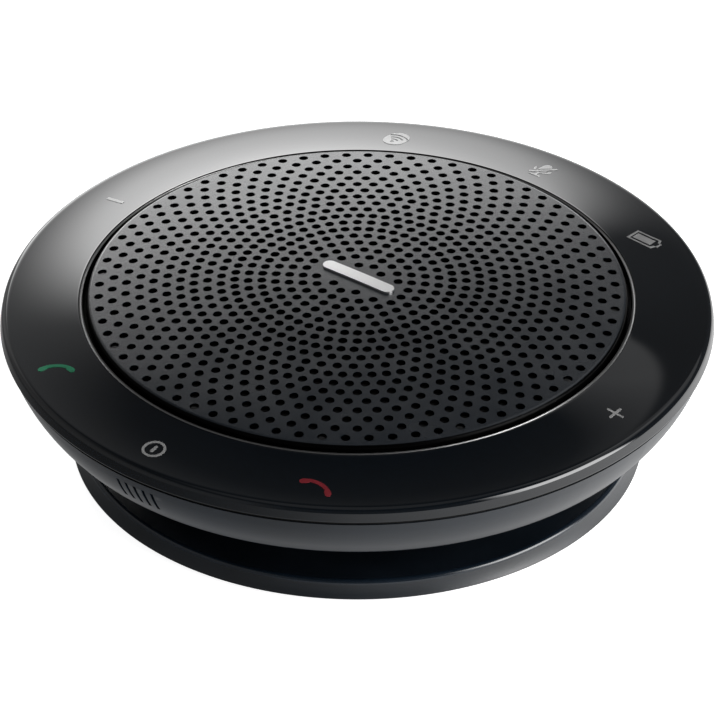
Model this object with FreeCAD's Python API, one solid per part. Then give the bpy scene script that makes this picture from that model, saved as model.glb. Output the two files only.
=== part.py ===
import FreeCAD, Part
import math
import os

# Conference speakerphone, in millimetres.
# +Z is up, the table is z = 0, and the power key is on the -Y side.
# Every height and radius is measured from the centre of the foot.

# ---- Driving dimensions ----

BODY_R = 60.4
GRILLE_TOP_Z = 32.0
DOME_R = 396.5

GRILLE_R = 45.7
GRILLE_T = 0.8
GRILLE_SEAT_Z = 26.9
HOLE_R = 0.8
HOLE_ROW_R = 43.65
HOLE_ROW_STEP = 2.295
HOLE_COUNTS = [72] * 8 + [60] * 3 + [48] * 2 + [36, 30, 24]
STAGGERED_ROWS = {1, 3, 5, 7, 9, 14}
BADGE_SIZE = (14.5, 2.4)
BADGE_Y = 0.3
BADGE_T = 0.35

RING_OPENING_R = 46.3
BEAD_LOW_Z = 28.45
BEAD_TOP = (46.65, 28.82)
RING_INNER = (47.05, 28.57)
RING_MIDDLE = (52.96, 27.62)
EDGE_AXIS = (58.98, 25.88)
EDGE_ROUND = 1.2
EDGE_START = 4.0
EDGE_END = 78.0
BAND_WIDEST_Z = 24.9
BAND_LOW_R = 60.15
BAND_LOW_Z = 24.55
RING_WALL_R = 58.2
RING_SKIN = 1.2
KEY_R = 53.5
KEY_PRINT_T = 0.06
LIGHT_COUNT = 12

RIM_Z = 23.88
RIM_R = 59.85
BOWL_R = 22.8
BOWL_START = 74.0
BOWL_TURN = 50.0
LIP_R = 3.2
FLOOR_SLOPE = 12.0
BOWL_WALL = 2.0
NECK_R = 39.0
NECK_WALL = 2.2
BOWL_FLOOR_Z = 11.5

BASE_LOW_R = 49.0
BASE_TOP_R = 48.0
BASE_LOW_Z = 1.0
BASE_TOP_Z = 4.0
BASE_FLOOR_Z = 3.4
PAD_TOP_Z = 1.5
PAD_OUT_R = 46.5
PAD_IN_R = 30.0

MIC_SLOTS = 5
MIC_SLOT_PITCH = 1.7
MIC_SLOT_W = 0.6
MIC_SLOT_Z = (18.2, 22.4)

SOCKET_Z = 19.4
SOCKET_R = 1.8
GLAND_Z = 7.7
GLAND_BORE_R = 1.7

POST_R = 47.0
HUB_SCREW_R = 33.0
PCB_Z = 15.4
PCB_T = 1.2
PCB_SCREW_R = 37.0
BAFFLE_Z = (22.6, 24.0)
BAFFLE_R = 56.9
TOUCH_Z = (24.0, 25.0)
SHIELD_TOP_Z = 25.9

RIM_FACE_Z = 25.3
BASKET_R = 31.0
SPEAKER_SCREW_R = 33.0
DUST_CAP_TOP_Z = 22.6
YOKE_Z = 9.2
YOKE_TOP_Z = 15.8
YOKE_R = 13.0

POST_ANGLES = [0, 60, 120, 180, 240, 300]
HUB_SCREW_ANGLES = [45, 135, 225, 315]
PCB_SCREW_ANGLES = [20, 110, 190, 290]
EAR_ANGLES = [0, 90, 180, 270]
SEAM_ANGLE = 30

GRILLE_CENTRE = GRILLE_TOP_Z - DOME_R
Z_AXIS = FreeCAD.Vector(0, 0, 1)


# ---- Drawing helpers ----

def vec(x, y, z=0.0):
    return FreeCAD.Vector(x, y, z)


def polar(radius, degrees, z=0.0):
    a = math.radians(degrees)
    return vec(radius * math.cos(a), radius * math.sin(a), z)


def about_z(shape, degrees):
    """A copy of a shape, turned about the vertical axis."""
    turned_shape = shape.copy()
    turned_shape.rotate(vec(0, 0), Z_AXIS, degrees)
    return turned_shape


def outline(corners, place):
    """Closed face. A corner is a point, or a pair of points: an arc through the first to the second."""
    edges = []
    start = here = place(*corners[0])
    for corner in corners[1:]:
        if isinstance(corner[0], tuple):
            via, end = (place(*p) for p in corner)
            edges.append(Part.Arc(here, via, end).toShape())
        else:
            end = place(*corner)
            edges.append(Part.LineSegment(here, end).toShape())
        here = end
    if (here - start).Length > 1e-6:
        edges.append(Part.LineSegment(here, start).toShape())
    return Part.Face(Part.Wire(edges))


def turned(*corners):
    """Solid of revolution about Z, from an outline of (radius, height)."""
    face = outline(corners, lambda r, z: vec(r, 0, z))
    return face.revolve(vec(0, 0), Z_AXIS, 360)


def extruded(corners, z, height):
    """Upright prism on an outline of (x, y)."""
    return outline(corners, lambda x, y: vec(x, y, z)).extrude(vec(0, 0, height))


def tube(outer, inner, z0, z1):
    return turned((inner, z0), (outer, z0), (outer, z1), (inner, z1))


def post(radius, z0, z1, at=vec(0, 0)):
    return Part.makeCylinder(radius, z1 - z0, vec(at.x, at.y, z0))


def rod(radius, start, end):
    return Part.makeCylinder(radius, (end - start).Length, start, end - start)


def block(x0, x1, y0, y1, z0, z1):
    return Part.makeBox(x1 - x0, y1 - y0, z1 - z0, vec(x0, y0, z0))


def fused(*shapes):
    return shapes[0].fuse(list(shapes[1:])).removeSplitter()


def around(shape, angles):
    return [about_z(shape, a) for a in angles]


def sphere_z(radius, low, reach):
    """Height at a reach from the axis, on the dome whose centre is at height low."""
    return low + math.sqrt(radius ** 2 - reach ** 2)


def ball(radius, centre_z):
    """Sphere on the Z axis, turned so that its poles and its seam are far from the crown."""
    centre = vec(0, 0, centre_z)
    sphere = Part.makeSphere(radius, centre, vec(1, 0, 0), -90, 90, 360)
    seam = [e for e in sphere.Edges if e.Length > radius][0]
    if seam.CenterOfMass.z > centre_z:
        sphere.rotate(centre, vec(1, 0, 0), 180)
    return sphere


def bowed_disc(reach, centre_z, inner_r, outer_r):
    """Disc between two spheres that share a centre on the Z axis."""
    top_z = centre_z + outer_r
    blank = post(reach, sphere_z(inner_r, centre_z, reach) - 1.0, top_z + 1.0)
    return blank.common(ball(outer_r, centre_z)).cut(ball(inner_r, centre_z))


def screw(head_r, head_z0, head_z1, shank_r, tip_z, at):
    """Cross-recess screw; its head lies between head_z0 and head_z1, and its shank runs to tip_z."""
    points_up = tip_z > head_z1
    outer_z = head_z0 if points_up else head_z1
    depth = 0.6 if points_up else -0.6
    body = fused(post(head_r, head_z0, head_z1, at),
                 post(shank_r, min(head_z0, tip_z), max(head_z1, tip_z), at))
    low, high = sorted((outer_z, outer_z + depth))
    long, wide = head_r * 0.6, head_r * 0.17
    for lx, ly in ((long, wide), (wide, long)):
        body = body.cut(block(at.x - lx, at.x + lx, at.y - ly, at.y + ly, low, high))
    return body


# ---- Base ----

def foot_pad():
    return tube(PAD_OUT_R, PAD_IN_R, 0.0, PAD_TOP_Z)


def base_plate():
    gap = 0.1
    plate = turned((0, BASE_LOW_Z), (PAD_IN_R - gap, BASE_LOW_Z), (PAD_IN_R - gap, PAD_TOP_Z),
                   (PAD_OUT_R + gap, PAD_TOP_Z), (PAD_OUT_R + gap, BASE_LOW_Z),
                   (BASE_LOW_R - 0.2, BASE_LOW_Z),
                   ((BASE_LOW_R - 0.03, BASE_LOW_Z + 0.08), (BASE_LOW_R, BASE_LOW_Z + 0.25)),
                   (BASE_TOP_R, BASE_TOP_Z - 0.7),
                   ((BASE_TOP_R - 0.2, BASE_TOP_Z - 0.2), (BASE_TOP_R - 0.7, BASE_TOP_Z)),
                   (NECK_R - NECK_WALL - 0.4, BASE_TOP_Z), (NECK_R - NECK_WALL - 0.4, BASE_FLOOR_Z),
                   (0, BASE_FLOOR_Z))
    for angle in HUB_SCREW_ANGLES:
        at = polar(HUB_SCREW_R, angle)
        plate = plate.cut(post(2.3, PAD_TOP_Z, PAD_TOP_Z + 1.1, at)).cut(post(1.2, PAD_TOP_Z, BASE_FLOOR_Z, at))
    return plate


def base_screws():
    return [screw(2.0, PAD_TOP_Z, PAD_TOP_Z + 1.1, 0.95, 14.4, polar(HUB_SCREW_R, a)) for a in HUB_SCREW_ANGLES]


def winding_hub():
    hub = tube(NECK_R, NECK_R - NECK_WALL, BASE_TOP_Z, BOWL_FLOOR_Z)
    rib = block(HUB_SCREW_R, NECK_R - NECK_WALL + 0.4, -1.0, 1.0, BASE_FLOOR_Z + 0.6, BOWL_FLOOR_Z)
    for angle in HUB_SCREW_ANGLES:
        boss = fused(post(3.0, BASE_FLOOR_Z, BOWL_FLOOR_Z, polar(HUB_SCREW_R, angle)), about_z(rib, angle))
        hub = fused(hub, boss).cut(post(1.2, BASE_FLOOR_Z, BOWL_FLOOR_Z, polar(HUB_SCREW_R, angle)))
    return hub.cut(rod(2.45, vec(0, NECK_R - 6, GLAND_Z), vec(0, NECK_R + 2, GLAND_Z)))


def cable_gland():
    inside_y = NECK_R - NECK_WALL - 0.3
    outside_y = NECK_R + 0.05
    body = fused(rod(2.4, vec(0, inside_y - 0.8, GLAND_Z), vec(0, outside_y + 0.9, GLAND_Z)),
                 rod(3.2, vec(0, inside_y - 0.8, GLAND_Z), vec(0, inside_y, GLAND_Z)),
                 rod(3.2, vec(0, outside_y, GLAND_Z), vec(0, outside_y + 0.9, GLAND_Z)))
    return body.cut(rod(GLAND_BORE_R, vec(0, inside_y - 2, GLAND_Z), vec(0, outside_y + 2, GLAND_Z)))


# ---- Bowl ----

def bowl_arc(radius_cut):
    """Start, middle and end of the bowl's side, and of the lip under it, moved inwards by radius_cut."""
    def unit(degrees):
        return math.sin(math.radians(degrees)), -math.cos(math.radians(degrees))

    def on(centre, radius, degrees):
        s, c = unit(degrees)
        return centre[0] + radius * s, centre[1] + radius * c

    s, c = unit(BOWL_START)
    side = (RIM_R - BOWL_R * s, RIM_Z - BOWL_R * c)
    turn = on(side, BOWL_R, BOWL_TURN)
    s, c = unit(BOWL_TURN)
    lip = (turn[0] - LIP_R * s, turn[1] - LIP_R * c)
    rim_angle = math.degrees(math.acos((side[1] - RIM_Z) / (BOWL_R - radius_cut)))
    side_points = [on(side, BOWL_R - radius_cut, a) for a in (rim_angle, (rim_angle + BOWL_TURN) / 2, BOWL_TURN)]
    lip_points = [on(lip, LIP_R - radius_cut, a) for a in ((BOWL_TURN + FLOOR_SLOPE) / 2, FLOOR_SLOPE)]
    return side_points + lip_points


def slope_end(point, z):
    """Where the sloping underside that starts at a point comes down to a height."""
    return point[0] - (point[1] - z) / math.tan(math.radians(FLOOR_SLOPE)), z


def bowl_shell():
    out = bowl_arc(0.0)
    inner = bowl_arc(BOWL_WALL)
    floor_top = BOWL_FLOOR_Z + BOWL_WALL
    magnet_hole_r = 16.0
    return turned(out[0], (out[1], out[2]), (out[3], out[4]), slope_end(out[4], BOWL_FLOOR_Z),
                  (magnet_hole_r, BOWL_FLOOR_Z), (magnet_hole_r, floor_top), slope_end(inner[4], floor_top),
                  inner[4], (inner[3], inner[2]), (inner[1], inner[0]))


def lower_housing():
    shell = bowl_shell()
    floor_top = BOWL_FLOOR_Z + BOWL_WALL
    for angle in POST_ANGLES:
        at = polar(POST_R, angle)
        shell = fused(shell, post(3.4, floor_top + 1.2, BAFFLE_Z[0], at))
        shell = shell.cut(post(2.2, BOWL_FLOOR_Z, 16.0, at)).cut(post(1.1, 16.0, BAFFLE_Z[0], at))
    for angle in HUB_SCREW_ANGLES:
        at = polar(HUB_SCREW_R, angle)
        shell = fused(shell, post(2.6, floor_top, PCB_Z - 0.3, at)).cut(post(1.0, BOWL_FLOOR_Z, 14.6, at))
    for angle in PCB_SCREW_ANGLES:
        at = polar(PCB_SCREW_R, angle)
        shell = fused(shell, post(2.2, floor_top - 0.2, PCB_Z, at)).cut(post(0.85, floor_top, PCB_Z, at))
    for k in range(MIC_SLOTS):
        angle = 270 + (k - (MIC_SLOTS - 1) / 2) * MIC_SLOT_PITCH
        slot = block(50, 62, -MIC_SLOT_W / 2, MIC_SLOT_W / 2, *MIC_SLOT_Z)
        shell = shell.cut(about_z(slot, angle))
    return shell.cut(rod(2.8, vec(0, 50, SOCKET_Z), vec(0, 62, SOCKET_Z)))


def housing_screws():
    return [screw(2.0, 14.8, 16.0, 0.95, 23.7, polar(POST_R, a)) for a in POST_ANGLES]


def seam_gasket():
    sheet_top_z = RIM_Z + 0.2
    return turned((57.9, RIM_Z), (59.6, RIM_Z), (59.6, sheet_top_z), (58.8, sheet_top_z),
                  (58.8, BAND_LOW_Z), (57.9, BAND_LOW_Z))


# ---- Control ring and its lamps ----

def ring_edge():
    """Start, middle and end of the rounding at the ring's outer edge."""
    r, z = EDGE_AXIS
    angles = [math.radians(a) for a in (EDGE_START, (EDGE_START + EDGE_END) / 2, EDGE_END)]
    return [(r + EDGE_ROUND * math.sin(a), z + EDGE_ROUND * math.cos(a)) for a in angles]


def ring_top_z(reach):
    """Height of the ring's gently dished top at a reach from the axis."""
    circle = Part.Arc(vec(*RING_INNER), vec(*RING_MIDDLE), vec(*ring_edge()[0])).toShape().Curve
    return circle.Center.y - math.sqrt(circle.Radius ** 2 - (reach - circle.Center.x) ** 2)


def control_ring():
    start, middle, end = ring_edge()
    ceiling = [(r, ring_top_z(r) - RING_SKIN) for r in (57.4, 53.0, 48.2)]
    ring = turned((44.6, 25.7), (44.6, GRILLE_SEAT_Z), (RING_OPENING_R, GRILLE_SEAT_Z),
                  (RING_OPENING_R, BEAD_LOW_Z), (BEAD_TOP, RING_INNER), (RING_MIDDLE, start), (middle, end),
                  (BODY_R, BAND_WIDEST_Z), (BODY_R - 0.1, BAND_LOW_Z + 0.12), (BAND_LOW_R, BAND_LOW_Z),
                  (RING_WALL_R, BAND_LOW_Z), (RING_WALL_R, 25.2), ceiling[0],
                  (ceiling[1], ceiling[2]), (48.2, 25.7))
    return about_z(ring, SEAM_ANGLE)


def touch_pcb():
    board = tube(57.0, 42.2, *TOUCH_Z)
    for angle in POST_ANGLES:
        board = board.cut(post(1.6, *TOUCH_Z, polar(POST_R, angle)))
    return board


def ring_leds():
    led = block(43.2, 44.1, -0.8, 0.8, TOUCH_Z[1], TOUCH_Z[1] + 0.6)
    return around(led, range(0, 360, 360 // LIGHT_COUNT))


def light_pipe_ring():
    pipe = tube(44.4, 42.6, 25.8, 28.6)
    tip, square = on_dome(vec(HOLE_ROW_R, 0))
    pin_r = HOLE_R - 0.08
    pin = turned((0, -1.4), (pin_r, -1.4), (pin_r, -0.5), (pin_r - 0.12, -0.38), (0, -0.34))
    pin.rotate(vec(0, 0), vec(0, 1, 0), math.degrees(math.asin(square.x)))
    pin.translate(tip)
    return fused(pipe, *around(pin, range(0, 360, 360 // LIGHT_COUNT)))


KEY_ANGLES = {"plus": 0, "battery": 60, "mute": 90, "wireless": 120,
              "minus": 180, "answer": 240, "power": 270, "end": 300}


def light_shield():
    shield = tube(57.0, 48.5, TOUCH_Z[1], SHIELD_TOP_Z)
    for angle in KEY_ANGLES.values():
        shield = shield.cut(post(2.8, TOUCH_Z[1], SHIELD_TOP_Z, polar(KEY_R, angle)))
    return shield


def key_leds():
    led = block(KEY_R - 0.8, KEY_R + 0.8, -0.5, 0.5, TOUCH_Z[1], TOUCH_Z[1] + 0.5)
    return around(led, KEY_ANGLES.values())


def key_diffusers():
    return around(post(2.7, TOUCH_Z[1] + 0.5, SHIELD_TOP_Z, vec(KEY_R, 0)), KEY_ANGLES.values())


# ---- Printed key symbols, drawn flat around their own middle ----

SYMBOL_Z = 24.0
SYMBOL_H = 8.0

# How far each symbol's middle lies from the middle of its key, along X and Y.
SYMBOL_OFFSETS = {"plus": (0.4, -1.0), "battery": (0.8, -1.1), "mute": (0.5, -0.7), "wireless": (0.5, -0.7),
                  "minus": (0.8, -0.6), "answer": (-0.3, -0.1), "power": (0.5, -1.2), "end": (1.1, -0.4)}


def bar(length, width, degrees=0.0, at=(0.0, 0.0)):
    shape = block(-length / 2, length / 2, -width / 2, width / 2, SYMBOL_Z, SYMBOL_Z + SYMBOL_H)
    shape = about_z(shape, degrees)
    shape.translate(vec(*at))
    return shape


def disc(radius, at=(0.0, 0.0)):
    return post(radius, SYMBOL_Z, SYMBOL_Z + SYMBOL_H, vec(*at))


def arc_band(radius, width, start, end, at=(0.0, 0.0)):
    """Bent bar with its ends square, between two angles of a circle."""
    middle = (start + end) / 2
    corners = []
    for r in (radius + width / 2, radius - width / 2):
        corners.append([polar(r, a) + vec(*at) for a in (start, middle, end)])
    (a, b, c), (d, e, f) = [[(p.x, p.y) for p in row] for row in corners]
    return extruded([a, (b, c), f, (e, d)], SYMBOL_Z, SYMBOL_H)


def stadium(width, height, at=(0.0, 0.0)):
    """Upright slot shape with round ends, taller than it is wide."""
    r = width / 2
    reach = height / 2 - r
    x, y = at
    return extruded([(x - r, y - reach), ((x, y - reach - r), (x + r, y - reach)),
                     (x + r, y + reach), ((x, y + reach + r), (x - r, y + reach))], SYMBOL_Z, SYMBOL_H)


def battery_frame(grow):
    """Battery outline with a nose on its right, grown outwards by a margin."""
    w, h, nose = 2.3 + grow, 1.55 + grow, 0.75
    return extruded([(-w, -h), (w, -h), (w + nose * 0.4, -0.75 - grow * 0.4), (w + nose, -0.6 - grow * 0.4),
                     (w + nose, 0.6 + grow * 0.4), (w + nose * 0.4, 0.75 + grow * 0.4), (w, h), (-w, h)],
                    SYMBOL_Z, SYMBOL_H)


def draw_plus():
    return fused(bar(3.2, 0.45), bar(3.2, 0.45, 90))


def draw_minus():
    return bar(3.6, 0.7)


def draw_battery():
    return [battery_frame(0.18).cut(battery_frame(-0.18)), bar(3.6, 1.8)]


def draw_mute():
    capsule = stadium(1.7, 3.2, (0, 0.9))
    cradle = arc_band(1.55, 0.4, 180, 360, (0, 0.5))
    mic = fused(capsule, cradle, bar(1.3, 0.4, 90, (0, -1.6)), bar(2.2, 0.45, 0, (0, -2.35)))
    slash_at = (0.1, 0.2)
    return [mic.cut(bar(6.4, 1.0, 50, slash_at)), bar(5.2, 0.42, 50, slash_at)]


def draw_wireless():
    token = stadium(4.0, 5.2)
    for radius in (1.0, 1.9, 2.8):
        token = token.cut(arc_band(radius, 0.38, 48, 132, (0, -1.35)))
    return token.cut(disc(0.36, (0, -1.35)))


def draw_power():
    return [disc(2.0).cut(disc(1.55)), stadium(0.55, 1.75)]


def handset(tilt):
    """Telephone handset lying on its back, with its two ends hanging down."""
    bend_r, half = 4.2, 42.0
    shape = arc_band(bend_r, 0.75, 90 - half, 90 + half, (0, -bend_r))
    for side in (-1, 1):
        end = polar(bend_r - 0.18, 90 + side * (half - 6))
        cup = about_z(stadium(1.0, 1.8), 90 + side * half)
        cup.translate(vec(end.x, end.y - bend_r))
        shape = fused(shape, cup)
    shape.translate(vec(0, 0.6))
    return about_z(shape, tilt)


def printed(name, shapes):
    """A flat symbol laid on the ring's dished top at its key."""
    below = [RING_INNER, RING_MIDDLE, ring_edge()[0]]
    above = [(r, z + KEY_PRINT_T) for r, z in below]
    skin = about_z(turned(below[0], (below[1], below[2]), above[2], (above[1], above[0])), SEAM_ANGLE)
    shapes = shapes if isinstance(shapes, list) else [shapes]
    laid = []
    for shape in shapes:
        shape.translate(polar(KEY_R, KEY_ANGLES[name]) + vec(*SYMBOL_OFFSETS[name]))
        laid += shape.common(skin).Solids
    return laid


# ---- Grille ----

def hole_centres():
    """Rows of holes on shrinking circles; the rows by the badge leave room for it."""
    centres = []
    for row, count in enumerate(HOLE_COUNTS):
        pitch = 360 / count
        shift = pitch / 2 if row in STAGGERED_ROWS else 0.0
        centres += [polar(HOLE_ROW_R - HOLE_ROW_STEP * row, shift + pitch * k) for k in range(count)]
    badge_gap = 12.0
    for k in range(18):
        angle = 10 + 20 * k
        if min(angle % 180, 180 - angle % 180) > badge_gap:
            centres.append(polar(HOLE_ROW_R - HOLE_ROW_STEP * 16, angle))
    for side in (90, 270):
        centres += [polar(4.6, side), polar(4.2, side - 34), polar(4.2, side + 34)]
    return centres


def on_dome(spot):
    """The point of the grille's outside above a spot of the plan, and the direction square to it."""
    crown = vec(0, 0, GRILLE_CENTRE)
    point = vec(spot.x, spot.y, sphere_z(DOME_R, crown.z, spot.Length))
    return point, (point - crown).normalize()


def capped(radius, low_z, skin):
    """Upright cylinder that ends in the grille's dome, moved inwards by skin."""
    return post(radius, low_z, GRILLE_TOP_Z + 1.0).common(ball(DOME_R - skin, GRILLE_CENTRE))


def grille():
    cover = capped(GRILLE_R, GRILLE_SEAT_Z, 0.0)
    edge = [e for e in cover.Edges if 28.0 < e.BoundBox.ZMin and e.BoundBox.ZLength < 0.01]
    cover = cover.makeFillet(GRILLE_T, edge).cut(capped(GRILLE_R - GRILLE_T, GRILLE_SEAT_Z - 1.0, GRILLE_T))
    punches = [rod(HOLE_R, point - square * 2.0, point + square * 2.0) for point, square in map(on_dome, hole_centres())]
    return cover.cut(Part.makeCompound(punches))


def grille_cloth():
    return bowed_disc(42.3, GRILLE_CENTRE, DOME_R - GRILLE_T - 0.35, DOME_R - GRILLE_T - 0.05)


def badge():
    width, height = BADGE_SIZE
    r = height / 2
    x = width / 2 - r
    low, high = BADGE_Y - r, BADGE_Y + r
    pill = extruded([(-x, low), (x, low), ((x + r, BADGE_Y), (x, high)),
                     (-x, high), ((-x - r, BADGE_Y), (-x, low))], 28.0, 8.0)
    return pill.common(bowed_disc(12.0, GRILLE_CENTRE, DOME_R, DOME_R + BADGE_T))


# ---- Loudspeaker ----

def speaker_baffle():
    plate = tube(BAFFLE_R, 28.6, *BAFFLE_Z)
    for angle in EAR_ANGLES:
        boss = post(2.2, 20.4, BAFFLE_Z[1], polar(SPEAKER_SCREW_R, angle))
        plate = fused(plate, boss).cut(post(0.95, 20.4, BAFFLE_Z[1], polar(SPEAKER_SCREW_R, angle)))
    for angle in POST_ANGLES:
        plate = plate.cut(post(1.0, *BAFFLE_Z, polar(POST_R, angle)))
    slot = about_z(block(42.4, 43.9, -6.5, 6.5, *BAFFLE_Z), 210)
    return plate.cut(slot)


def speaker_basket():
    basket = turned((10.6, YOKE_TOP_Z), (19.6, YOKE_TOP_Z), (20.6, 16.6), (20.6, 17.6), (28.2, 24.0),
                    (BASKET_R, 24.0), (BASKET_R, RIM_FACE_Z), (27.4, RIM_FACE_Z), (27.4, 24.6),
                    (19.9, 18.0), (18.4, 18.0), (18.4, 16.9), (10.6, 16.9))
    for angle in EAR_ANGLES:
        at = polar(SPEAKER_SCREW_R, angle)
        ear = post(2.8, 24.0, RIM_FACE_Z, at).cut(post(28.5, 24.0, RIM_FACE_Z))
        basket = fused(basket, ear).cut(post(1.05, 24.0, RIM_FACE_Z, at))
    window = block(19.0, 29.0, -6.5, 6.5, 18.6, 23.4)
    for angle in HUB_SCREW_ANGLES:
        basket = basket.cut(about_z(window, angle))
    return basket


def surround():
    """Rubber half-roll between the cone's edge and the basket's rim."""
    low, high = RIM_FACE_Z, RIM_FACE_Z + 0.3
    return turned((21.4, low), (22.9, low), ((24.95, low + 2.05), (27.0, low)), (30.6, low), (30.6, high),
                  (27.3, high), ((24.95, high + 2.35), (22.6, high)), (21.4, high))


def spider():
    """Corrugated cloth disc that centres the voice coil."""
    ridges = [(9.62 + 1.1 * k, 18.55 if k % 2 else 18.15) for k in range(8)]
    top = [(r, z + 0.25) for r, z in ridges]
    return turned(*ridges, (18.42, 18.0), (19.7, 18.0), (19.7, 18.25), (18.3, 18.25), *reversed(top))


def cone():
    return turned((9.02, 19.0), (9.7, 19.0), (21.6, 24.8), (22.6, 24.8), (22.6, RIM_FACE_Z),
                  (21.3, RIM_FACE_Z), (9.02, 19.7))


def dust_cap():
    cap_r = 24.2
    return bowed_disc(10.3, DUST_CAP_TOP_Z - cap_r, cap_r - 0.4, cap_r).cut(cone())


def voice_coil():
    former = tube(9.0, 8.7, 12.7, 19.9)
    return fused(former, tube(9.6, 9.0, 12.9, 16.7))


def magnet_yoke():
    return turned((0, YOKE_Z), (YOKE_R - 0.4, YOKE_Z), (YOKE_R, YOKE_Z + 0.4), (YOKE_R, YOKE_TOP_Z),
                  (10.1, YOKE_TOP_Z), (10.1, 10.8), (0, 10.8))


def magnet():
    return post(8.0, 10.8, 13.8)


def pole_piece():
    return turned((0, 13.8), (8.3, 13.8), (8.3, YOKE_TOP_Z - 0.3), (8.0, YOKE_TOP_Z), (0, YOKE_TOP_Z))


def speaker_gasket():
    return tube(30.6, 27.9, RIM_FACE_Z + 0.3, 29.5)


def speaker_screws():
    return [screw(1.9, RIM_FACE_Z, RIM_FACE_Z + 1.1, 0.9, 20.8, polar(SPEAKER_SCREW_R, a)) for a in EAR_ANGLES]


def terminal_board():
    board = block(14.2, 18.6, -4.0, 4.0, YOKE_TOP_Z - 1.0, YOKE_TOP_Z)
    tabs = [block(18.6, 19.8, y - 0.8, y + 0.8, YOKE_TOP_Z - 0.8, YOKE_TOP_Z - 0.3) for y in (-2.2, 2.2)]
    return about_z(fused(board, *tabs), 315)


def speaker_wires():
    """Two leads from the loudspeaker's tabs, up and over the edge of the main board."""
    wires = []
    for y in (-2.2, 2.2):
        start = vec(19.85, y, YOKE_TOP_Z - 0.55)
        corner = vec(21.0, y, start.z)
        up = vec(21.0 + 0.6, y, start.z + 0.6)
        run = [Part.LineSegment(start, corner).toShape(),
               Part.Arc(corner, vec(21.0 + 0.6 * 0.707, y, start.z + 0.6 * 0.293), up).toShape(),
               Part.LineSegment(up, vec(21.6, y, 17.0)).toShape(),
               Part.Arc(vec(21.6, y, 17.0), vec(21.6 + 0.6 * 0.293, y, 17.0 + 0.6 * 0.707),
                        vec(22.2, y, 17.6)).toShape(),
               Part.LineSegment(vec(22.2, y, 17.6), vec(23.9, y, 17.6)).toShape()]
        section = Part.Wire(Part.makeCircle(0.35, start, vec(1, 0, 0)))
        wires.append(about_z(Part.Wire(run).makePipeShell([section], True, True), 315))
    return wires


# ---- Electronics ----

def main_pcb():
    board = tube(41.0, 22.4, PCB_Z, PCB_Z + PCB_T)
    board = fused(board, block(-8, 8, 38, 46, PCB_Z, PCB_Z + PCB_T))
    for angle in PCB_SCREW_ANGLES:
        board = board.cut(post(1.1, PCB_Z, PCB_Z + PCB_T, polar(PCB_SCREW_R, angle)))
    return board


def pcb_screws():
    top = PCB_Z + PCB_T
    return [screw(1.8, top, top + 1.0, 0.8, 13.8, polar(PCB_SCREW_R, a)) for a in PCB_SCREW_ANGLES]


def main_chips():
    top = PCB_Z + PCB_T
    sizes = [(70, 31.5, 4.5, 4.5, 0.9), (245, 31.0, 3.5, 3.5, 1.0), (150, 32.0, 3.0, 4.0, 1.1),
             (0, 31.0, 2.0, 3.0, 0.8), (265, 35.0, 1.5, 1.5, 1.4)]
    return [about_z(block(r - w, r + w, -d, d, top, top + h), a) for a, r, w, d, h in sizes]


def shield_can():
    top = PCB_Z + PCB_T
    lid = block(24.6, 38.0, -8.0, 8.0, top, top + 1.6).cut(block(24.9, 37.7, -7.7, 7.7, top, top + 1.3))
    return about_z(lid, 0)


def connectors():
    """Wire-to-board headers for the loudspeaker, battery, data cable and touch board."""
    top = PCB_Z + PCB_T
    bodies = []
    for angle, r, half in ((315, 26.0, 4.0), (180, 28.0, 4.0), (128, 37.0, 3.5), (210, 36.0, 6.0)):
        shell = block(r - 2.0, r + 2.0, -half, half, top, top + 2.2)
        mouth = block(r - 2.0, r + 1.2, -half + 0.6, half - 0.6, top + 0.4, top + 1.7)
        bodies.append(about_z(shell.cut(mouth), angle))
    return bodies


def flex_cable():
    """Folded ribbon from the main board's header up to the underside of the touch board."""
    strip = [(38.02, 17.4), (43.2, 17.4), (43.2, 24.0), (43.0, 24.0), (43.0, 17.6), (38.02, 17.6)]
    ribbon = outline(strip, lambda r, z: vec(r, -5, z)).extrude(vec(0, 10, 0))
    return about_z(ribbon, 210)


def antenna():
    top = PCB_Z + PCB_T
    foot = block(38.6, 40.4, -7.0, 7.0, top, top + 0.3)
    fin = block(40.1, 40.4, -7.0, 7.0, top, top + 3.4)
    return about_z(fused(foot, fin).cut(block(40.0, 40.5, -4.5, 3.5, top + 1.2, top + 2.2)), 40)


def headset_socket():
    body = block(-3.2, 3.2, 41.5, 53.2, PCB_Z + PCB_T, 22.3)
    nose = rod(2.7, vec(0, 53.2, SOCKET_Z), vec(0, 56.2, SOCKET_Z))
    return fused(body, nose).cut(rod(SOCKET_R, vec(0, 43.0, SOCKET_Z), vec(0, 56.2, SOCKET_Z)))


def mic_boot():
    """Rubber block that seals the microphone against the wall behind its slots."""
    half = 4.4
    face = outline([(51.3, 17.6), (54.25, 17.6), (56.9, 22.3), (53.9, 22.3)], lambda r, z: vec(r, 0, z))
    boot = about_z(face, 270 - half).revolve(vec(0, 0), Z_AXIS, 2 * half)
    boot = boot.cut(block(-2.05, 2.05, -54.2, -50.0, 18.45, 21.55))
    return boot.cut(rod(0.6, vec(0, -50, 20.0), vec(0, -60, 20.0)))


def microphone():
    return block(-2.0, 2.0, -54.2, -53.0, 18.5, 21.5)


def battery():
    pack = block(-24.0, 24.0, -16.0, 16.0, 4.0, 8.6)
    return pack.makeFillet(1.2, [e for e in pack.Edges if abs(e.tangentAt(0).z) > 0.9])


def battery_pad():
    return block(-18.0, 18.0, -12.0, 12.0, BASE_FLOOR_Z, 4.0)


# ---- Every node, by name ----

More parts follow.
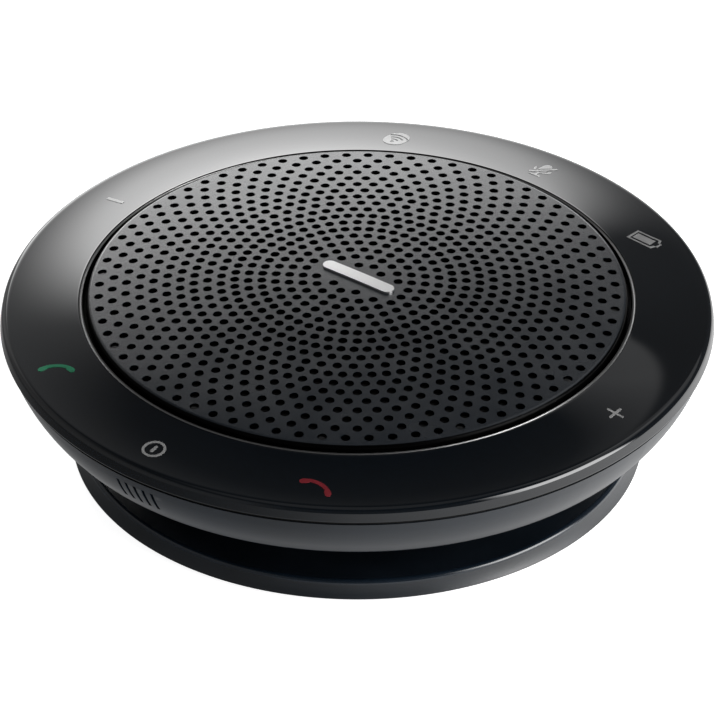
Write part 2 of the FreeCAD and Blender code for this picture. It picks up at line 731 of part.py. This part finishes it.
NODES = {
    "foot_pad": foot_pad,
    "base_plate": base_plate,
    "base_screws": base_screws,
    "winding_hub": winding_hub,
    "cable_gland": cable_gland,
    "lower_housing": lower_housing,
    "housing_screws": housing_screws,
    "seam_gasket": seam_gasket,
    "control_ring": control_ring,
    "touch_pcb": touch_pcb,
    "ring_leds": ring_leds,
    "light_pipe_ring": light_pipe_ring,
    "light_shield": light_shield,
    "key_leds": key_leds,
    "key_diffusers": key_diffusers,
    "plus_symbol": lambda: printed("plus", draw_plus()),
    "minus_symbol": lambda: printed("minus", draw_minus()),
    "battery_symbol": lambda: printed("battery", draw_battery()),
    "mute_symbol": lambda: printed("mute", draw_mute()),
    "wireless_symbol": lambda: printed("wireless", draw_wireless()),
    "power_symbol": lambda: printed("power", draw_power()),
    "answer_symbol": lambda: printed("answer", handset(27)),
    "end_symbol": lambda: printed("end", handset(-2)),
    "grille": grille,
    "grille_cloth": grille_cloth,
    "badge": badge,
    "speaker_baffle": speaker_baffle,
    "speaker_basket": speaker_basket,
    "speaker_gasket": speaker_gasket,
    "speaker_screws": speaker_screws,
    "surround": surround,
    "spider": spider,
    "cone": cone,
    "dust_cap": dust_cap,
    "voice_coil": voice_coil,
    "magnet_yoke": magnet_yoke,
    "magnet": magnet,
    "pole_piece": pole_piece,
    "terminal_board": terminal_board,
    "speaker_wires": speaker_wires,
    "main_pcb": main_pcb,
    "pcb_screws": pcb_screws,
    "main_chips": main_chips,
    "shield_can": shield_can,
    "connectors": connectors,
    "flex_cable": flex_cable,
    "antenna": antenna,
    "headset_socket": headset_socket,
    "mic_boot": mic_boot,
    "microphone": microphone,
    "battery": battery,
    "battery_pad": battery_pad,
}

os.makedirs("parts", exist_ok=True)
for name, make in NODES.items():
    made = make()
    shape = Part.makeCompound(made) if isinstance(made, list) else made
    sound = shape.isValid() and all(s.Volume > 0 for s in shape.Solids)
    print(f"{name:18s} solids {len(shape.Solids):3d}  volume {shape.Volume:10.2f}  {'ok' if sound else 'BAD'}")
    shape.exportStep(f"parts/{name}.step")
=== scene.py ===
import bpy
import math
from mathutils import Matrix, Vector


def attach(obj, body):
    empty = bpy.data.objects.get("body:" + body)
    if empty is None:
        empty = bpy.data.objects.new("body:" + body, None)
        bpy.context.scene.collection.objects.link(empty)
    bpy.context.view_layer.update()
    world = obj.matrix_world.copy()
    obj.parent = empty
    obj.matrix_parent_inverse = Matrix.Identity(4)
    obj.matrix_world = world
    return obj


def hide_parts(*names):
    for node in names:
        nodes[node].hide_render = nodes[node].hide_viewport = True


# Looks of the conference speakerphone. Lengths are in metres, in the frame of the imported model.
# The power key and the microphone slots are on the -Y side.

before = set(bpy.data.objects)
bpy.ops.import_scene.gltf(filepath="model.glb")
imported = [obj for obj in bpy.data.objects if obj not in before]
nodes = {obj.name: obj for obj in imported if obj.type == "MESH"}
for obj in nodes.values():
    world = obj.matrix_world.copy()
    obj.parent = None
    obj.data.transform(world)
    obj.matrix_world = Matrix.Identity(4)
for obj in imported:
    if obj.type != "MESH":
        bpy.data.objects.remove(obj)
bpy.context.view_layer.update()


# ---- Node graphs ----

class Graph:
    """A short way to write a node tree: each call makes a node, links its inputs and returns its output."""

    def __init__(self, tree):
        self.tree = tree
        tree.nodes.clear()

    def node(self, kind, inputs, output=0, **settings):
        made = self.tree.nodes.new(kind)
        for key, value in settings.items():
            setattr(made, key, value)
        for key, value in inputs.items():
            if isinstance(value, bpy.types.NodeSocket):
                self.tree.links.new(value, made.inputs[key])
            else:
                made.inputs[key].default_value = value
        return made.outputs[output] if made.outputs else None

    def math(self, operation, *values):
        return self.node("ShaderNodeMath", dict(enumerate(values)), operation=operation)

    def remap(self, value, low, high, out_low=0.0, out_high=1.0, kind="LINEAR"):
        inputs = {"Value": value, "From Min": low, "From Max": high, "To Min": out_low, "To Max": out_high}
        return self.node("ShaderNodeMapRange", inputs, interpolation_type=kind)

    def noise(self, place, scale, detail=2.0, roughness=0.5):
        inputs = {"Vector": place, "Scale": scale, "Detail": detail, "Roughness": roughness}
        return self.node("ShaderNodeTexNoise", inputs)

    def mix(self, factor, low, high):
        return self.node("ShaderNodeMix", {0: factor, 6: low, 7: high}, output=2, data_type="RGBA")


def grey(value, tint=(1.0, 1.0, 1.0)):
    return tuple(value * t for t in tint) + (1.0,)


# Tint of the bluish blacks.
COOL = (0.5, 1.0, 1.7)

# Height of the grille's crown, the radius of its dome, and the depths below the dome over which painted shade
# turns the grille black.
GRILLE_TOP_Z = 0.032
DOME_R = 0.3965
PAINTED_SHADE_DEPTHS = (0.00005, 0.00013)


def finish(name, low, high, rough, spread=0.05, grain=4000.0, depth=0.0, patch=60.0, **shader):
    """A procedural finish: colour and roughness drift in patches, over a fine grain in the surface.

    grain and patch are in cycles per metre. depth is the height of the grain in metres."""
    made = bpy.data.materials.new(name)
    made.use_nodes = True
    g = Graph(made.node_tree)
    place = g.node("ShaderNodeTexCoord", {}, output="Object")
    patches = g.noise(place, patch, 3.0)
    fine = g.noise(place, grain, 3.0, 0.6)
    both = g.math("ADD", g.math("MULTIPLY", patches, 0.6), g.math("MULTIPLY", fine, 0.4))
    inputs = {"Base Color": g.mix(g.remap(both, 0.35, 0.65), low, high),
              "Roughness": g.remap(patches, 0.3, 0.7, rough - spread, rough + spread), **shader}
    if depth:
        inputs["Normal"] = g.node("ShaderNodeBump", {"Height": fine, "Distance": depth, "Strength": 1.0})
    g.node("ShaderNodeOutputMaterial", {"Surface": g.node("ShaderNodeBsdfPrincipled", inputs)})
    return made


# ---- Finishes ----

def metal(name, colour, rough, **more):
    return finish(name, colour, tuple(c * 0.8 for c in colour[:3]) + (1.0,), rough, Metallic=1.0, **more)


def grille_finish(name, low, high, rough, grain, depth):
    """Speckled paint on the outside of the grille; painted shade, black with almost no sheen, on the walls of
    its holes and on its edge.
    """
    made = bpy.data.materials.new(name)
    made.use_nodes = True
    g = Graph(made.node_tree)
    place = g.node("ShaderNodeTexCoord", {}, output="Object")
    # Painted shade: the deeper a point lies below the dome's surface, the closer its colour comes to black
    # and its sheen to none.
    dome_distance = g.node("ShaderNodeVectorMath", {0: place, 1: (0.0, 0.0, GRILLE_TOP_Z - DOME_R)},
                   output="Value", operation="DISTANCE")
    above_painted_shade = g.remap(g.math("SUBTRACT", DOME_R, dome_distance), PAINTED_SHADE_DEPTHS[1], PAINTED_SHADE_DEPTHS[0])
    fine = g.noise(place, grain, 3.0, 0.6)
    colour = g.mix(g.remap(fine, 0.35, 0.65), low, high)
    inputs = {"Base Color": g.mix(above_painted_shade, grey(0.0005), colour),
              "Roughness": g.remap(g.noise(place, 90.0), 0.3, 0.7, rough - 0.03, rough + 0.03),
              "Specular IOR Level": g.remap(above_painted_shade, 0.0, 1.0, 0.02, 0.6),
              "Normal": g.node("ShaderNodeBump", {"Height": fine, "Distance": depth, "Strength": 1.0})}
    g.node("ShaderNodeOutputMaterial", {"Surface": g.node("ShaderNodeBsdfPrincipled", inputs)})
    return made


FINISHES = {
    "gloss_black": finish("gloss_black", grey(0.0015, COOL), grey(0.0025, COOL), 0.06, 0.015,
                          grain=900.0, depth=1e-7, patch=25.0),
    "grille_paint_and_painted_shade": grille_finish("grille_paint_and_painted_shade", grey(0.002, COOL), grey(0.007, COOL), 0.25, grain=5200.0,
                                  depth=1.6e-5),
    "shell_black": finish("shell_black", grey(0.004, COOL), grey(0.008, COOL), 0.3, 0.03, grain=6000.0,
                          depth=2.5e-6, patch=50.0),
    # Near-black with almost no sheen: painted shade for the hub in the gap above the base, and for the bead's
    # outer flank and the ring's underside.
    "hub_black": finish("hub_black", grey(0.0005), grey(0.001), 0.6, grain=5000.0, depth=4e-6,
                        **{"Specular IOR Level": 0.05}),
    "base_texture": finish("base_texture", grey(0.002, COOL), grey(0.005, COOL), 0.36, 0.04, grain=4200.0,
                           depth=1.2e-5, patch=70.0),
    "base_edge": finish("base_edge", grey(0.004, COOL), grey(0.008, COOL), 0.17, 0.02, grain=4200.0,
                        depth=2e-6, patch=70.0),
    "rubber_black": finish("rubber_black", grey(0.003), grey(0.006), 0.75, grain=2500.0, depth=6e-6,
                           **{"Specular IOR Level": 0.2}),
    # One print in two copies: the lighter copy is painted light and the darker copy painted shade, set by
    # where each symbol sits on the ring.
    "light_print": finish("light_print", grey(0.26), grey(0.34), 0.09, grain=7000.0, depth=1e-7, patch=400.0),
    "print_painted_shaded": finish("print_painted_shaded", grey(0.17), grey(0.22), 0.09, grain=7000.0, depth=1e-7, patch=400.0),
    "green_print": finish("green_print", (0.005, 0.12, 0.055, 1), (0.008, 0.16, 0.075, 1), 0.09, patch=400.0),
    "red_print": finish("red_print", (0.11, 0.009, 0.013, 1), (0.15, 0.013, 0.019, 1), 0.09, patch=400.0),
    "silver_badge": metal("silver_badge", grey(0.7), 0.3, grain=9000.0, depth=1e-7),
    "light_pipe": finish("light_pipe", grey(0.006), grey(0.01), 0.2, patch=300.0),
    # Satin metal for the lip's bead, brighter than black: a painted highlight along the opening.
    "satin_bead_painted_highlight": metal("satin_bead_painted_highlight", grey(0.27), 0.36, grain=9000.0, depth=1e-7),
    "diffuser_white": finish("diffuser_white", grey(0.6), grey(0.7), 0.5),
    "acoustic_cloth": finish("acoustic_cloth", grey(0.0015), grey(0.004), 0.9, grain=3000.0, depth=4e-5),
    "foam_black": finish("foam_black", grey(0.01), grey(0.03), 0.95, grain=2500.0, depth=1e-4),
    "coated_steel": finish("coated_steel", grey(0.02), grey(0.035), 0.45, grain=3000.0, depth=4e-6),
    "plated_steel": metal("plated_steel", grey(0.55), 0.32, grain=3500.0, depth=3e-6),
    "nickel": metal("nickel", grey(0.62, (1.03, 1.0, 0.95)), 0.18),
    "cone_paper": finish("cone_paper", grey(0.02), grey(0.05), 0.85, grain=1800.0, depth=3e-5),
    "amber_cloth": finish("amber_cloth", (0.35, 0.2, 0.05, 1), (0.5, 0.32, 0.09, 1), 0.8, grain=2200.0,
                          depth=4e-5),
    "copper": metal("copper", (0.72, 0.33, 0.18, 1.0), 0.3, grain=6000.0, depth=1e-5),
    "solder_green": finish("solder_green", (0.005, 0.07, 0.03, 1), (0.01, 0.11, 0.045, 1), 0.35,
                           grain=1200.0),
    "solder_black": finish("solder_black", grey(0.008), grey(0.014), 0.4, grain=1200.0),
    "epoxy_black": finish("epoxy_black", grey(0.01), grey(0.02), 0.55, grain=5000.0, depth=4e-6),
    "tin": metal("tin", grey(0.66), 0.3, grain=2500.0, depth=2e-6),
    "nylon": finish("nylon", (0.62, 0.58, 0.46, 1), (0.7, 0.66, 0.54, 1), 0.5),
    "polyimide": finish("polyimide", (0.4, 0.16, 0.02, 1), (0.5, 0.22, 0.03, 1), 0.25),
    "lamp": finish("lamp", grey(0.6), grey(0.75), 0.3),
    "pouch": metal("pouch", grey(0.6), 0.35, grain=900.0, depth=1e-5),
    "red_wire": finish("red_wire", (0.35, 0.01, 0.01, 1), (0.45, 0.02, 0.02, 1), 0.4),
    "phenolic": finish("phenolic", (0.2, 0.1, 0.03, 1), (0.28, 0.15, 0.05, 1), 0.5, grain=1500.0),
}

FINISH_OF = {
    "gloss_black": ["control_ring", "headset_socket"],
    "grille_paint_and_painted_shade": ["grille"],
    "shell_black": ["lower_housing"],
    "hub_black": ["winding_hub", "light_shield", "speaker_baffle"],
    "base_texture": ["base_plate"],
    "rubber_black": ["foot_pad", "cable_gland", "seam_gasket", "surround", "mic_boot"],
    # The lighter and darker copies of the print are painted light and painted shade.
    "light_print": ["minus_symbol", "mute_symbol", "wireless_symbol"],
    "print_painted_shaded": ["plus_symbol", "battery_symbol", "power_symbol"],
    "green_print": ["answer_symbol"],
    "red_print": ["end_symbol"],
    "silver_badge": ["badge"],
    "light_pipe": ["light_pipe_ring"],
    "diffuser_white": ["key_diffusers"],
    "acoustic_cloth": ["grille_cloth"],
    "foam_black": ["speaker_gasket", "battery_pad"],
    "coated_steel": ["speaker_basket"],
    "plated_steel": ["magnet_yoke", "pole_piece", "base_screws", "housing_screws", "pcb_screws",
                     "speaker_screws"],
    "nickel": ["magnet"],
    "cone_paper": ["cone", "dust_cap"],
    "amber_cloth": ["spider"],
    "copper": ["voice_coil"],
    "solder_green": ["main_pcb"],
    "solder_black": ["touch_pcb"],
    "epoxy_black": ["main_chips"],
    "tin": ["shield_can", "antenna", "microphone"],
    "nylon": ["connectors"],
    "polyimide": ["flex_cable"],
    "lamp": ["ring_leds", "key_leds"],
    "pouch": ["battery"],
    "red_wire": ["speaker_wires"],
    "phenolic": ["terminal_board"],
}

for finish_name, names in FINISH_OF.items():
    for name in names:
        nodes[name].data.materials.clear()
        nodes[name].data.materials.append(FINISHES[finish_name])


# ---- Turned pieces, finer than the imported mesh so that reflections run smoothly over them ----

TURNS = 480
SHARP_ANGLE = 25.0


def arc(start, via, end, steps):
    """Points along the circle through three points, from the first to the last."""
    (ax, ay), (bx, by), (cx, cy) = start, via, end
    twice = 2 * (ax * (by - cy) + bx * (cy - ay) + cx * (ay - by))
    a2, b2, c2 = ax * ax + ay * ay, bx * bx + by * by, cx * cx + cy * cy
    x = (a2 * (by - cy) + b2 * (cy - ay) + c2 * (ay - by)) / twice
    y = (a2 * (cx - bx) + b2 * (ax - cx) + c2 * (bx - ax)) / twice
    radius = math.hypot(ax - x, ay - y)
    first, last = math.atan2(ay - y, ax - x), math.atan2(cy - y, cx - x)
    angles = [first + (last - first) * k / steps for k in range(steps + 1)]
    return [(x + radius * math.cos(t), y + radius * math.sin(t)) for t in angles]


def lathe(name, profile, material):
    """Closed profile of (radius, height), turned about Z and riding on the housing.

    Its faces come in the order of the profile's sides, once for each turn."""
    count = len(profile)
    turned = [math.tau * k / TURNS for k in range(TURNS)]
    points = [(r * math.cos(t), r * math.sin(t), z) for t in turned for r, z in profile]
    faces = []
    for k in range(TURNS):
        here, there = k * count, (k + 1) % TURNS * count
        for i in range(count):
            j = (i + 1) % count
            faces.append((here + i, here + j, there + j, there + i))
    mesh = bpy.data.meshes.new(name)
    mesh.from_pydata(points, [], faces)
    mesh.shade_smooth()
    mesh.set_sharp_from_angle(angle=math.radians(SHARP_ANGLE))
    mesh.materials.append(material)
    made = bpy.data.objects.new(name, mesh)
    bpy.context.scene.collection.objects.link(made)
    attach(made, "housing")
    return made


# Outline of the control ring, as (radius, height): its bead, dished top, rounded edge, skirt and underside.
BEAD_LOW = (0.04643, 0.02852)
BEAD_TOP = (0.0467, 0.02882)
BEAD_FOOT = (0.04702, 0.0286)
RING_INNER = (0.04708, 0.02857)
RING_MIDDLE = (0.05296, 0.02762)
EDGE_AXIS = (0.05898, 0.02588)
EDGE_ROUND = 0.0012
EDGE_ANGLES = (4.0, 41.0, 78.0)
SKIRT = [(0.06038, 0.0249), (0.0603, 0.02467), (0.06015, 0.02455), (0.0582, 0.02455), (0.0582, 0.0252)]
UNDERSIDE = [(0.0574, 0.0258), (0.0530, 0.0263), (0.0482, 0.0271), (0.0482, 0.0257), (0.0446, 0.0257),
             (0.0446, 0.0269), (0.0463, 0.0269)]

# Sides that each curve is cut into. The first ones of the bead are bright satin metal, a painted highlight
# along the lip, and its outer flank is near-black painted shade.
BEAD_STEPS = 12
BRIGHT_STEPS = 9
TOP_STEPS = 40
EDGE_STEPS = 12


def smooth_ring():
    """Control ring with a satin bead round its opening as a painted highlight, and near-black painted shade
    on the bead's outer flank and under its lip.
    """
    bead = arc(BEAD_LOW, BEAD_TOP, BEAD_FOOT, BEAD_STEPS)
    edge = [(EDGE_AXIS[0] + EDGE_ROUND * math.sin(math.radians(a)),
             EDGE_AXIS[1] + EDGE_ROUND * math.cos(math.radians(a))) for a in EDGE_ANGLES]
    top = arc(RING_INNER, RING_MIDDLE, edge[0], TOP_STEPS)
    profile = bead + top + arc(*edge, EDGE_STEPS)[1:] + SKIRT + UNDERSIDE
    ring = lathe("smooth_ring", profile, FINISHES["gloss_black"])
    ring.data.materials.append(FINISHES["satin_bead_painted_highlight"])
    ring.data.materials.append(FINISHES["hub_black"])
    # The bead's first faces take the satin finish as a painted highlight; its outer flank and the ring's
    # underside take near-black painted shade.
    for face in ring.data.polygons:
        step = face.index % len(profile)
        if step < BRIGHT_STEPS:
            face.material_index = 1
        elif step <= BEAD_STEPS or step >= len(profile) - len(UNDERSIDE):
            face.material_index = 2
    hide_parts("control_ring")


smooth_ring()


# Outline of the base's skin, a hair proud of its CAD node, from under the wall to its inner end on the top.
BASE_SOLE = (0.0488, 0.00098)
BASE_TOE = (0.04898, 0.00106)
BASE_FOOT = (0.04902, 0.00125)
BASE_SHOULDER = (0.04802, 0.0033)
BASE_CREST = (0.04782, 0.00382)
BASE_TOP = (0.0473, 0.00402)
BASE_INNER = (0.0400, 0.00402)
SKIN_T = 0.0002
SHOULDER_STEPS = 12


def base_skin():
    """Thin turned skin that keeps the highlight along the base's upper edge smooth."""
    above_painted_shade = [BASE_INNER] + arc(BASE_TOP, BASE_CREST, BASE_SHOULDER, SHOULDER_STEPS)
    above_painted_shade += [BASE_FOOT, BASE_TOE, BASE_SOLE]
    inside = [(BASE_SOLE[0], BASE_SOLE[1] + SKIN_T), (BASE_SHOULDER[0] - SKIN_T, BASE_SHOULDER[1]),
              (BASE_TOP[0] - SKIN_T, BASE_TOP[1] - SKIN_T), (BASE_INNER[0], BASE_INNER[1] - SKIN_T)]
    profile = above_painted_shade + inside
    skin = lathe("base_skin", profile, FINISHES["base_texture"])
    skin.data.materials.append(FINISHES["base_edge"])
    for face in skin.data.polygons:
        if 1 <= face.index % len(profile) <= SHOULDER_STEPS:
            face.material_index = 1


base_skin()


# ---- Camera ----

CAMERA_AT = Vector((0.4258, -0.5549, 0.4856))
CAMERA_AIM = Vector((-0.5054, 0.6587, -0.5575))
CAMERA_HEADING = math.degrees(math.atan2(CAMERA_AIM.y, CAMERA_AIM.x))

camera = bpy.data.objects.new("camera", bpy.data.cameras.new("camera"))
camera.data.sensor_width = 36.0
camera.data.lens = 249.0
camera.location = CAMERA_AT
camera.rotation_mode = "QUATERNION"
camera.rotation_quaternion = CAMERA_AIM.to_track_quat("-Z", "Y")
bpy.context.scene.collection.objects.link(camera)
bpy.context.scene.camera = camera


# ---- Floor ----

def make_floor():
    """White light table: a sheet with a soft sheen, lit from below as well as from the panels."""
    bpy.ops.mesh.primitive_circle_add(vertices=96, radius=4.0, fill_type="NGON", location=(0, 0, 0))
    floor = bpy.context.object
    floor.name = "floor"
    sheet = finish("floor_sheet", grey(0.84), grey(0.87), 0.3, grain=40.0, patch=2.0,
                   **{"Emission Color": grey(1.0), "Emission Strength": 0.9})
    floor.data.materials.append(sheet)
    floor.visible_glossy = False


make_floor()


# ---- Studio light: soft panels in a dim room ----

def make_studio():
    world = bpy.data.worlds.new("studio")
    bpy.context.scene.world = world
    world.use_nodes = True
    g = Graph(world.node_tree)
    direction = g.node("ShaderNodeTexCoord", {}, output="Generated")
    parts = g.node("ShaderNodeSeparateXYZ", {"Vector": direction}).node.outputs
    height = g.math("DEGREES", g.math("ARCSINE", parts["Z"]))
    heading = g.math("DEGREES", g.math("ARCTAN2", parts["Y"], parts["X"]))

    turn = g.math("WRAP", g.math("SUBTRACT", heading, CAMERA_HEADING), 180.0, -180.0)

    def panel(sides, heights, strength, soft_sides, soft_heights, lean=0.0):
        """Soft-edged panel, in degrees; its sides are counted to the left of the way the camera faces.

        lean moves its right side to the left for each degree above its middle."""
        (right, left), (low, high) = sides, heights
        shift = g.math("MULTIPLY", g.math("SUBTRACT", height, (low + high) / 2), lean)
        leaned = g.math("SUBTRACT", turn, shift)
        ramps = [g.remap(leaned, right - soft_sides[0], right + soft_sides[0], kind="SMOOTHSTEP"),
                 g.remap(turn, left + soft_sides[1], left - soft_sides[1], kind="SMOOTHSTEP"),
                 g.remap(height, low - soft_heights[0], low + soft_heights[0], kind="SMOOTHSTEP"),
                 g.remap(height, high + soft_heights[1], high - soft_heights[1], kind="SMOOTHSTEP")]
        light = strength
        for ramp in ramps:
            light = g.math("MULTIPLY", light, ramp)
        return light

    def wedge_card():
        """Dim card to the right of the back panel: a crisp slanting lower edge, fading upwards to a point."""
        edge = g.math("SUBTRACT", height, g.math("MULTIPLY", turn, 0.26))
        fade = g.math("ADD", height, g.math("MULTIPLY", turn, 0.64))
        shape = g.math("MULTIPLY", g.remap(edge, 39.8, 40.9, kind="SMOOTHSTEP"),
                       g.remap(fade, 36.4, 29.4, 0.0, 0.47))
        return g.math("MULTIPLY", shape, g.remap(turn, -60.0, -40.0))

    lights = [
        panel((-13.9, 22.0), (-5.0, 27.5), 2.6, (5.0, 3.0), (5.0, 6.5), lean=0.55),
        panel((1.0, 22.0), (-5.0, 27.0), 1.35, (10.0, 3.0), (5.0, 6.5)),
        panel((-4.0, 44.0), (0.0, 37.0), 0.4, (6.0, 9.0), (6.0, 9.0)),
        panel((-134.0, -92.0), (4.0, 41.0), 12.0, (10.0, 4.0), (4.0, 4.0)),
        wedge_card(),
        panel((-88.0, -30.0), (42.0, 66.0), 0.5, (5.0, 5.0), (5.0, 6.0)),
        panel((36.0, 150.0), (0.0, 50.0), 0.18, (12.0, 12.0), (12.0, 12.0)),
    ]
    room = g.remap(height, 30.0, 55.0, 0.13, 0.05)
    ceiling = g.remap(height, 58.0, 75.0, 0.0, 0.25, kind="SMOOTHSTEP")
    total = g.math("ADD", room, ceiling)
    for light in lights:
        total = g.math("ADD", total, light)

    # What a glossy surface sees of the light table: brighter on the key panel's side, dimmer near the object.
    side = g.math("MULTIPLY", g.math("SINE", g.math("RADIANS", turn)), -1.0)
    side = g.math("MULTIPLY", side, g.math("COSINE", g.math("RADIANS", height)))
    table = g.math("POWER", 2.75, g.math("MINIMUM", side, g.math("MULTIPLY", side, 2.0)))
    table = g.math("MULTIPLY", table, g.remap(height, -70.0, -5.0, 0.6, 0.95))
    above = g.remap(height, -0.5, 0.5)
    total = g.math("ADD", g.math("MULTIPLY", total, above),
                   g.math("MULTIPLY", table, g.math("SUBTRACT", 1.0, above)))
    background = g.node("ShaderNodeBackground", {"Color": grey(1.0), "Strength": total})
    g.node("ShaderNodeOutputWorld", {"Surface": background})


make_studio()
bpy.context.scene.view_settings.view_transform = "Standard"
